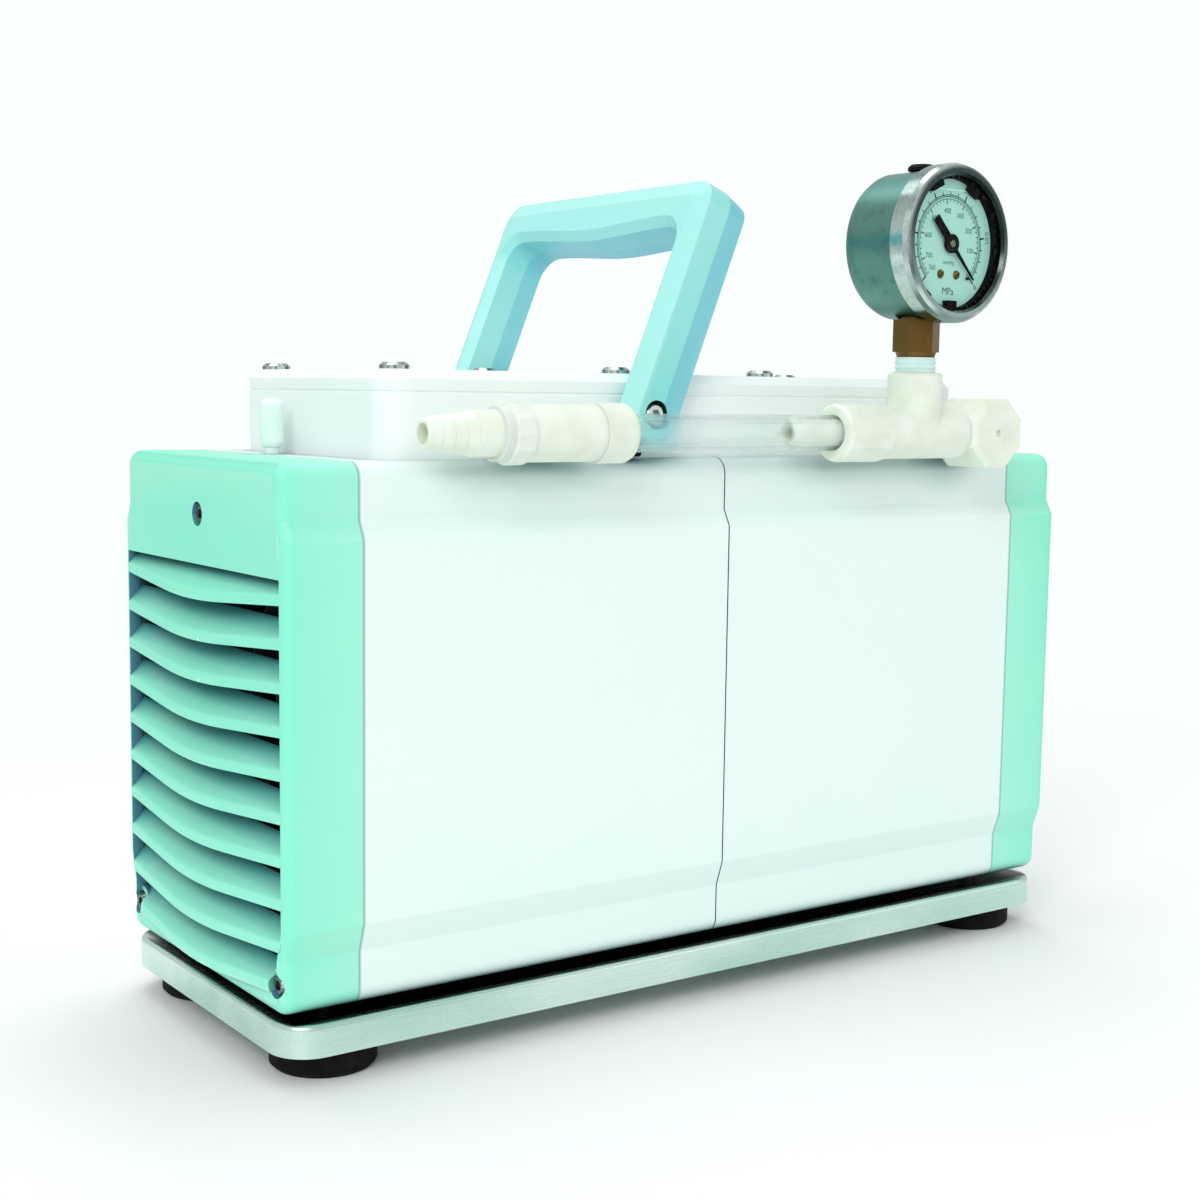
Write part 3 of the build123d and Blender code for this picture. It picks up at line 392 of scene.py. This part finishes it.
def plate_finish():
    """Brushed stainless steel, with painted shade on top where the casing covers it."""
    finish = metal_finish("stainless", srgb(222, 242, 233), (0.2, 0.36), 0.22, 60, 0.003)
    finish.tint(finish.noise(30, 2, 0.4, 0.65, (3, 1, 1)), srgb(158, 206, 188), 0.6)
    # painted shade on the top, under the casing
    covered = finish.multiply(finish.along("Y", 60.5, 58.5), finish.along("X", 164.5, 162.5))
    top = finish.facing((0, 0, 1), 0.7, 0.9)
    return finish.tint(finish.multiply(covered, top), srgb(10, 14, 15), 1.0)


def gauge_finish():
    """Steel case of the gauge: patchy, with a painted reflection in broad dark patches and small dark specks."""
    finish = turned_finish("gauge_steel", srgb(108, 154, 144), (0.28, 0.44), DIAL, DIAL_OUT, 0.35,
                           srgb(56, 108, 102))
    # painted reflection in broad dark patches
    finish.tint(finish.glints(1.6, 0.4, 0.65), srgb(62, 118, 112), 0.85)
    return finish.tint(finish.noise(0.9, 2, 0.68, 0.78), srgb(40, 66, 64), 0.7)


def bezel_finish():
    """Rolled bright steel, with a painted reflection in broad patches, painted shade on the upper part of its
    dished lip, and a painted dark ring of shade at the lip's inner edge.
    """
    finish = polished_finish("bezel_steel", srgb(206, 220, 215), srgb(74, 108, 104), 0.12, 1.8)
    # painted shade on the upper part of the dished lip
    lip = finish.dial_radius(26.6, 25.4)
    upper = finish.along("Z", DIAL_HEIGHT - 24, DIAL_HEIGHT + 6)
    finish.tint(finish.multiply(lip, upper), srgb(26, 46, 44), 0.9)
    # painted shade in a ring at the lip's inner edge
    return finish.tint(finish.dial_radius(24.2, 23.8), srgb(20, 34, 33), 0.8)


finishes = {finish.name: finish for finish in (
    paint_finish(),
    white_finish("white_plastic", srgb(242, 248, 247), (0.4, 0.55)),
    mint_finish(),
    handle_finish(),
    plate_finish(),
    rubber_finish("feet_rubber", srgb(10, 10, 12)),
    rubber_finish("black_rubber", srgb(5, 6, 7)),
    milky_finish("natural_pp", srgb(234, 243, 230), srgb(220, 229, 206)),
    milky_finish("silencer", srgb(238, 249, 245), srgb(220, 242, 234)),
    clear_finish("clear_pvc", srgb(244, 251, 249), (0.08, 0.2), 1.2, 0.5),
    clear_finish("gauge_glass", srgb(248, 254, 253), (0.0, 0.02), 1.06, 1.0),
    polished_finish("zinc_steel", srgb(206, 216, 214), srgb(44, 50, 50), 0.16, 2.6),
    turned_finish("bare_steel", srgb(192, 194, 196), (0.2, 0.35), (0, 0, 0), (1, 0, 0)),
    moulded_finish("cast_aluminium", srgb(96, 100, 102), srgb(74, 78, 82), 0.9, 0.06, (0.45, 0.6),
                   Metallic=0.9),
    banded_finish("laminations", srgb(92, 92, 98), srgb(30, 30, 34), 0.5, 0.7, 0.5),
    banded_finish("copper", srgb(190, 112, 66), srgb(90, 40, 20), 0.8, 0.8, 0.35),
    rubber_finish("diaphragm", srgb(44, 44, 46)),
    moulded_finish("fan_plastic", srgb(20, 22, 25), srgb(14, 16, 19), edge_wear_and_highlight=0.05),
    metal_finish("brass", srgb(120, 92, 48), (0.26, 0.42), 0.3, 8, 0.006, srgb(66, 42, 22)),
    gauge_finish(),
    bezel_finish(),
    white_finish("dial", srgb(176, 222, 210), (0.45, 0.55)),
    moulded_finish("black_plastic", srgb(7, 8, 9), srgb(14, 15, 17), 0.4, 0.012, edge_wear_and_highlight=0.01,
                   Specular_IOR_Level=0.04),
)}
INK = ink_finish("dial_ink", srgb(8, 30, 32))
GREY_INK = ink_finish("dial_grey_ink", srgb(36, 78, 74))
BRONZE = polished_finish("bronze", srgb(128, 122, 96), srgb(52, 50, 38), 0.2)
TAPE = milky_finish("ptfe_tape", srgb(222, 243, 238), srgb(196, 228, 222), 0.2)
# painted highlight, on the gate nibs and at the filling's level
PAINTED_HIGHLIGHT = ink_finish("painted_highlight_mark", srgb(222, 252, 244))
# painted shade, laid in the pivot screws' counterbores
SHADOW = ink_finish("recess", srgb(22, 52, 58))

for part in frame["record"]["subparts"]:
    slots = nodes[part["node"]].data.materials
    slots.clear()
    slots.append(finishes[part["material_slot"]].material)


# ---- trim ---------------------------------------------------------------------------------
def new_piece(name, shape, finish, body, smooth=False):
    """Object made from the bmesh shape, riding on one of the frame's bodies."""
    mesh = bpy.data.meshes.new(name)
    shape.to_mesh(mesh)
    shape.free()
    for polygon in mesh.polygons:
        polygon.use_smooth = smooth
    mesh.materials.append(finish.material)
    piece = bpy.data.objects.new(name, mesh)
    scene.collection.objects.link(piece)
    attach(piece, body)
    return piece


def turned_shape(outline, place, segments=48):
    """Surface of revolution about the local Z of the matrix place; outline is (radius, height)."""
    shape = bmesh.new()
    turns = [2 * pi * i / segments for i in range(segments)]
    rings = []
    for radius, height in outline:
        ring = [(radius * cos(t) * MM, radius * sin(t) * MM, height * MM) for t in turns]
        rings.append([shape.verts.new(point) for point in ring])
    for low, high in zip(rings, rings[1:]):
        for i in range(segments):
            j = (i + 1) % segments
            shape.faces.new((low[i], low[j], high[j], high[i]))
    bmesh.ops.transform(shape, matrix=place, verts=shape.verts)
    return shape


# ---- the gauge's dial ---------------------------------------------------------------------
DIAL_FRONT = 13.5               # the dial's face, ahead of the gauge's middle
PRINT_OUT = DIAL_FRONT + 0.03
ZERO, SWEEP = -45.0, 270.0      # where both scales start, and how far they run
MPA_STEPS, MMHG_STEPS = 20, 38  # 0.005 MPa and 20 mmHg apart
MPA_NUMERALS = (20.4, 20.3)     # half width and half height of the ring they stand on
STOP_R, STOP_PIN_R, STOP_HEIGHT = 15.2, 0.5, 1.2
SCREW_RIGHT, SCREW_UP = 4.2, -10.6
HUB_OUT = DIAL_FRONT + 1.8


def dial_frame(right=0.0, up=0.0, out=0.0, turn=0.0):
    """Matrix of a spot off the gauge's middle, as the dial's reader sees it; turn is anticlockwise."""
    place = DIAL + (DIAL_RIGHT * right + DIAL_UP * up + DIAL_OUT * out) * MM
    axes = Matrix((DIAL_RIGHT, DIAL_UP, DIAL_OUT)).transposed().to_4x4()
    return Matrix.Translation(place) @ axes @ Matrix.Rotation(radians(turn), 4, "Z")


def on_dial(radius, angle):
    """Point on the dial; angle is anticlockwise from its right."""
    return Vector((radius * cos(radians(angle)), radius * sin(radians(angle)), 0))


def add_arc(shape, radius, width, steps=90):
    """Thin ring segment over the scales' sweep."""
    angles = [ZERO + SWEEP * i / steps for i in range(steps + 1)]
    inner, outer = [[shape.verts.new(on_dial(r, angle)) for angle in angles]
                    for r in (radius - width / 2, radius + width / 2)]
    for i in range(steps):
        shape.faces.new((inner[i], outer[i], outer[i + 1], inner[i + 1]))


def add_ticks(shape, steps, every, major, minor):
    """Ticks over the scales' sweep; major and minor are (inner radius, outer radius, width)."""
    for i in range(steps + 1):
        angle = ZERO + SWEEP * i / steps
        inner, outer, width = major if i % every == 0 else minor
        across = on_dial(width / 2, angle + 90)
        low, high = on_dial(inner, angle), on_dial(outer, angle)
        corners = (low - across, high - across, high + across, low + across)
        shape.faces.new([shape.verts.new(corner) for corner in corners])


def add_text(shape, text, size, right, up, turn=0.0):
    """Letters of this size, centred on a spot of the dial."""
    curve = bpy.data.curves.new("lettering", "FONT")
    curve.body, curve.size = text, size
    curve.align_x, curve.align_y = "CENTER", "CENTER"
    curve.resolution_u = 3
    holder = bpy.data.objects.new("lettering", curve)
    scene.collection.objects.link(holder)
    bpy.context.view_layer.update()
    mesh = bpy.data.meshes.new_from_object(holder.evaluated_get(bpy.context.evaluated_depsgraph_get()))
    mesh.transform(Matrix.Translation((right, up, 0)) @ Matrix.Rotation(radians(turn), 4, "Z"))
    shape.from_mesh(mesh)
    bpy.data.meshes.remove(mesh)
    bpy.data.objects.remove(holder)
    bpy.data.curves.remove(curve)


def add_dial_piece(name, shape, finish):
    """Piece drawn flat in millimetres, laid on the dial's face."""
    bmesh.ops.transform(shape, matrix=dial_frame(out=PRINT_OUT) @ Matrix.Scale(MM, 4), verts=shape.verts)
    return new_piece(name, shape, finish, "root")


def mpa_scale():
    """Outer scale, 0 to 0.1 MPa, with the pin that stops the pointer at zero."""
    ink = bmesh.new()
    for radius in (16.2, 16.8):
        add_arc(ink, radius, 0.3)
    add_ticks(ink, MPA_STEPS, 4, (16.5, 18.9, 0.56), (16.5, 18.0, 0.34))
    wide, high = MPA_NUMERALS
    for i, text in enumerate(("0", "0.02", "0.04", "0.06", "0.08", "0.1")):
        angle = ZERO + SWEEP * i / 5
        add_text(ink, text, 2.6, wide * cos(radians(angle)), high * sin(radians(angle)), angle - 90)
    add_text(ink, "MPa", 3.6, 0, -16.5)
    stop = on_dial(STOP_R, ZERO - 4.5) + Vector((0, 0, STOP_HEIGHT / 2))
    bmesh.ops.create_cone(ink, cap_ends=True, segments=16, radius1=STOP_PIN_R, radius2=STOP_PIN_R,
                          depth=STOP_HEIGHT, matrix=Matrix.Translation(stop))
    add_dial_piece("dial_scale_mpa", ink, INK)


def mmhg_scale():
    """Inner scale, 0 to 760 mmHg."""
    grey = bmesh.new()
    add_arc(grey, 15.4, 0.24)
    add_ticks(grey, MMHG_STEPS, 5, (13.6, 15.4, 0.46), (14.4, 15.4, 0.26))
    for value in (100, 200, 300, 400, 500, 600, 700, 760):
        spot = on_dial(11.3 if value < 760 else 12.2, ZERO + SWEEP * value / 760)
        add_text(grey, str(value), 2.5, spot.x, spot.y)
    add_text(grey, "mmHg", 2.1, 0, -6.5)
    add_dial_piece("dial_scale_mmhg", grey, GREY_INK)


def level_line():
    """Painted highlight: a pale line where the filling's surface meets the glass."""
    level = bmesh.new()
    half, low, high = 11.5, 18.5, 18.8
    corners = ((half, low), (-half, low), (-half, high), (half, high))
    level.faces.new([level.verts.new((x, y, 0)) for x, y in corners])
    add_dial_piece("dial_level_line", level, PAINTED_HIGHLIGHT)


def dial_screws():
    """Two slotted brass screws that hold the dial."""
    head = [(0.01, 0.75), (1.1, 0.7), (1.5, 0.4), (1.6, 0.0)]
    slot_size = Matrix.Diagonal((2.6 * MM, 0.4 * MM, 0.3 * MM, 1))
    for side, right in (("left", -SCREW_RIGHT), ("right", SCREW_RIGHT)):
        at = dial_frame(right, SCREW_UP, DIAL_FRONT)
        screw = new_piece("dial_screw_" + side, turned_shape(head, at, 24), finishes["brass"], "root", True)
        slot = bmesh.new()
        slot_at = dial_frame(right, SCREW_UP, DIAL_FRONT + 0.72, 35)
        bmesh.ops.create_cube(slot, size=1, matrix=slot_at @ slot_size)
        new_piece("dial_slot_" + side, slot, INK, "root")


def pointer_cap():
    """Cap on the pointer's hub."""
    cap = [(0.01, 0.45), (0.9, 0.4), (1.25, 0.2), (1.35, 0.0)]
    new_piece("pointer_cap", turned_shape(cap, dial_frame(out=HUB_OUT), 32), BRONZE, "pointer", True)


# ---- other trim ---------------------------------------------------------------------------
def tape_wraps():
    """Turns of PTFE tape on the gauge's thread, above the tee's socket."""
    stem_low, stem_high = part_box("gauge_stem")
    middle = (stem_low + stem_high) / 2
    turns, points, height = 3, 8, 5.2
    thread_r, wrap_r, swell, first = 6.85, 7.15, 0.22, 0.15
    outline = [(thread_r, 0.0)]
    for i in range(turns * points + 1):
        radius = wrap_r + swell * cos(2 * pi * i / points)
        outline.append((radius, first + height * i / (turns * points)))
    outline.append((thread_r, height + 0.25))
    at = Matrix.Translation((middle.x, middle.y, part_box("gauge_tee")[1].z))
    new_piece("ptfe_tape", turned_shape(outline, at, 64), TAPE, "root", True)


def gate_nibs():
    """Gate nibs under the lips of the left cap's louvres, painted pale as a highlight, at (louvre, distance across
    it).
    """
    pitch, lowest_lip = 13.12, 29.4
    bow, bow_fall = 4.5, 0.094      # of a lip in its middle, and what it loses per millimetre across
    nib_r, proud, lift = 0.6, 0.1, 0.2
    shape = bmesh.new()
    for louvre, across in ((8, -7), (7, -7), (6, -42), (5, -42), (0, -8)):
        out = max(0.0, bow - abs(across) * bow_fall) / 2 ** 0.5
        height = lowest_lip + louvre * pitch - out + lift
        spot = Vector((-CAP_FACE - out - proud, CASE_Y / MM + across, height))
        bmesh.ops.create_uvsphere(shape, u_segments=8, v_segments=6, radius=nib_r * MM,
                                  matrix=Matrix.Translation(spot * MM))
    new_piece("gate_nibs", shape, PAINTED_HIGHLIGHT, "root", True)


def pivot_recesses():
    """Painted shade: a dark ring round each pivot screw's head, at the bottom of its counterbore."""
    pivot = Vector(joints["handle_fold"]["pos_m"])
    leg_low, leg_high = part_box("handle")
    counterbore_depth = 3.1
    ring = [(2.6, 0.0), (4.68, 0.0), (4.69, 2.6)]
    for name, face, way in (("front", leg_low.y, 1), ("back", leg_high.y, -1)):
        bottom = Matrix.Translation((pivot.x, face + way * counterbore_depth * MM, pivot.z))
        at = bottom @ Matrix.Rotation(way * pi / 2, 4, "X")
        new_piece("pivot_shade_ring_" + name, turned_shape(ring, at), SHADOW, "handle")


mpa_scale()
mmhg_scale()
level_line()
dial_screws()
pointer_cap()
tape_wraps()
gate_nibs()
pivot_recesses()


# ---- camera, floor and light --------------------------------------------------------------
CAMERA_FROM_CASE = Vector((-0.4006, -0.5475, 0.2103))
CAMERA_YAW, CAMERA_PITCH, CAMERA_ROLL = radians(35.57), radians(6.39), radians(0.78)
LENS = 54.93
FLOOR_RADIUS, FLOOR_FADE_RADIUS, FLOOR_SOLID_FROM = 1.6, 0.75, 0.55
AIM = Vector((0, 0, 0.13))
LAMPS = {                       # place, size in metres, watts
    "key": ((-1.4, -1.2, 1.25), 0.9, 17),
    "fill": ((1.2, -1.0, 0.7), 1.2, 2.0),
    "top": ((0.1, 0.5, 1.6), 1.0, 8),
}
WORLD_LIGHT, WORLD_SEEN = 0.7, 1.0


def add_camera():
    """Camera fitted to the casing's edges in the photograph."""
    camera = bpy.data.objects.new("camera", bpy.data.cameras.new("camera"))
    scene.collection.objects.link(camera)
    level_ahead = Vector((sin(CAMERA_YAW), cos(CAMERA_YAW), 0))
    ahead = level_ahead * cos(CAMERA_PITCH) - Vector((0, 0, sin(CAMERA_PITCH)))
    level = Vector((cos(CAMERA_YAW), -sin(CAMERA_YAW), 0))
    upright = level.cross(ahead)
    right = level * cos(CAMERA_ROLL) + upright * sin(CAMERA_ROLL)
    up = upright * cos(CAMERA_ROLL) - level * sin(CAMERA_ROLL)
    turn = Matrix((right, up, -ahead)).transposed()
    camera.matrix_world = Matrix.Translation(CAMERA_FROM_CASE + Vector((0, CASE_Y, 0))) @ turn.to_4x4()
    camera.data.lens = LENS
    camera.data.clip_start = 0.01
    scene.camera = camera


def add_floor():
    """A pale disc that fades into the white world, so that no horizon shows."""
    mesh = bpy.data.meshes.new("floor")
    shape = bmesh.new()
    bmesh.ops.create_circle(shape, cap_ends=True, segments=96, radius=FLOOR_RADIUS)
    shape.to_mesh(mesh)
    shape.free()
    floor = bpy.data.objects.new("floor", mesh)
    scene.collection.objects.link(floor)
    finish = Finish("floor", (0.94, 0.95, 0.95, 1), 0.6)
    place = finish.node("ShaderNodeMapping", {"Scale": (1 / FLOOR_FADE_RADIUS,) * 3})
    gradient = finish.node("ShaderNodeTexGradient", gradient_type="SPHERICAL")
    finish.link(finish.place, place.inputs["Vector"])
    finish.link(place.outputs["Vector"], gradient.inputs["Vector"])
    clear = finish.node("ShaderNodeBsdfTransparent")
    fade = finish.node("ShaderNodeMixShader")
    finish.link(finish.ramp(gradient.outputs["Fac"], 0.0, FLOOR_SOLID_FROM), fade.inputs["Fac"])
    finish.link(clear.outputs[0], fade.inputs[1])
    finish.link(finish.shader.outputs[0], fade.inputs[2])
    finish.link(fade.outputs[0], finish.tree.nodes["Material Output"].inputs["Surface"])
    mesh.materials.append(finish.material)


def add_world():
    """White as seen, and dimmer as light, so that the lamps shape the object."""
    world = bpy.data.worlds.new("world")
    scene.world = world
    world.use_nodes = True
    tree = world.node_tree
    background = tree.nodes["Background"]
    background.inputs["Color"].default_value = (0.97, 1.0, 1.0, 1)
    path = tree.nodes.new("ShaderNodeLightPath")
    seen = tree.nodes.new("ShaderNodeMath")
    seen.operation = "MAXIMUM"
    tree.links.new(path.outputs["Is Camera Ray"], seen.inputs[0])
    tree.links.new(path.outputs["Is Transmission Ray"], seen.inputs[1])
    strength = tree.nodes.new("ShaderNodeMapRange")
    strength.inputs["To Min"].default_value = WORLD_LIGHT
    strength.inputs["To Max"].default_value = WORLD_SEEN
    tree.links.new(seen.outputs[0], strength.inputs["Value"])
    tree.links.new(strength.outputs["Result"], background.inputs["Strength"])


def add_lamp(name, place, size, power):
    """Soft square lamp aimed at the middle of the object."""
    lamp = bpy.data.objects.new(name, bpy.data.lights.new(name, "AREA"))
    scene.collection.objects.link(lamp)
    lamp.location = place
    lamp.data.size = size
    lamp.data.energy = power
    lamp.rotation_euler = (AIM - lamp.location).to_track_quat("-Z", "Y").to_euler()


add_camera()
add_floor()
add_world()
for lamp_name, lamp_facts in LAMPS.items():
    add_lamp(lamp_name, *lamp_facts)
scene.view_settings.view_transform = "Standard"
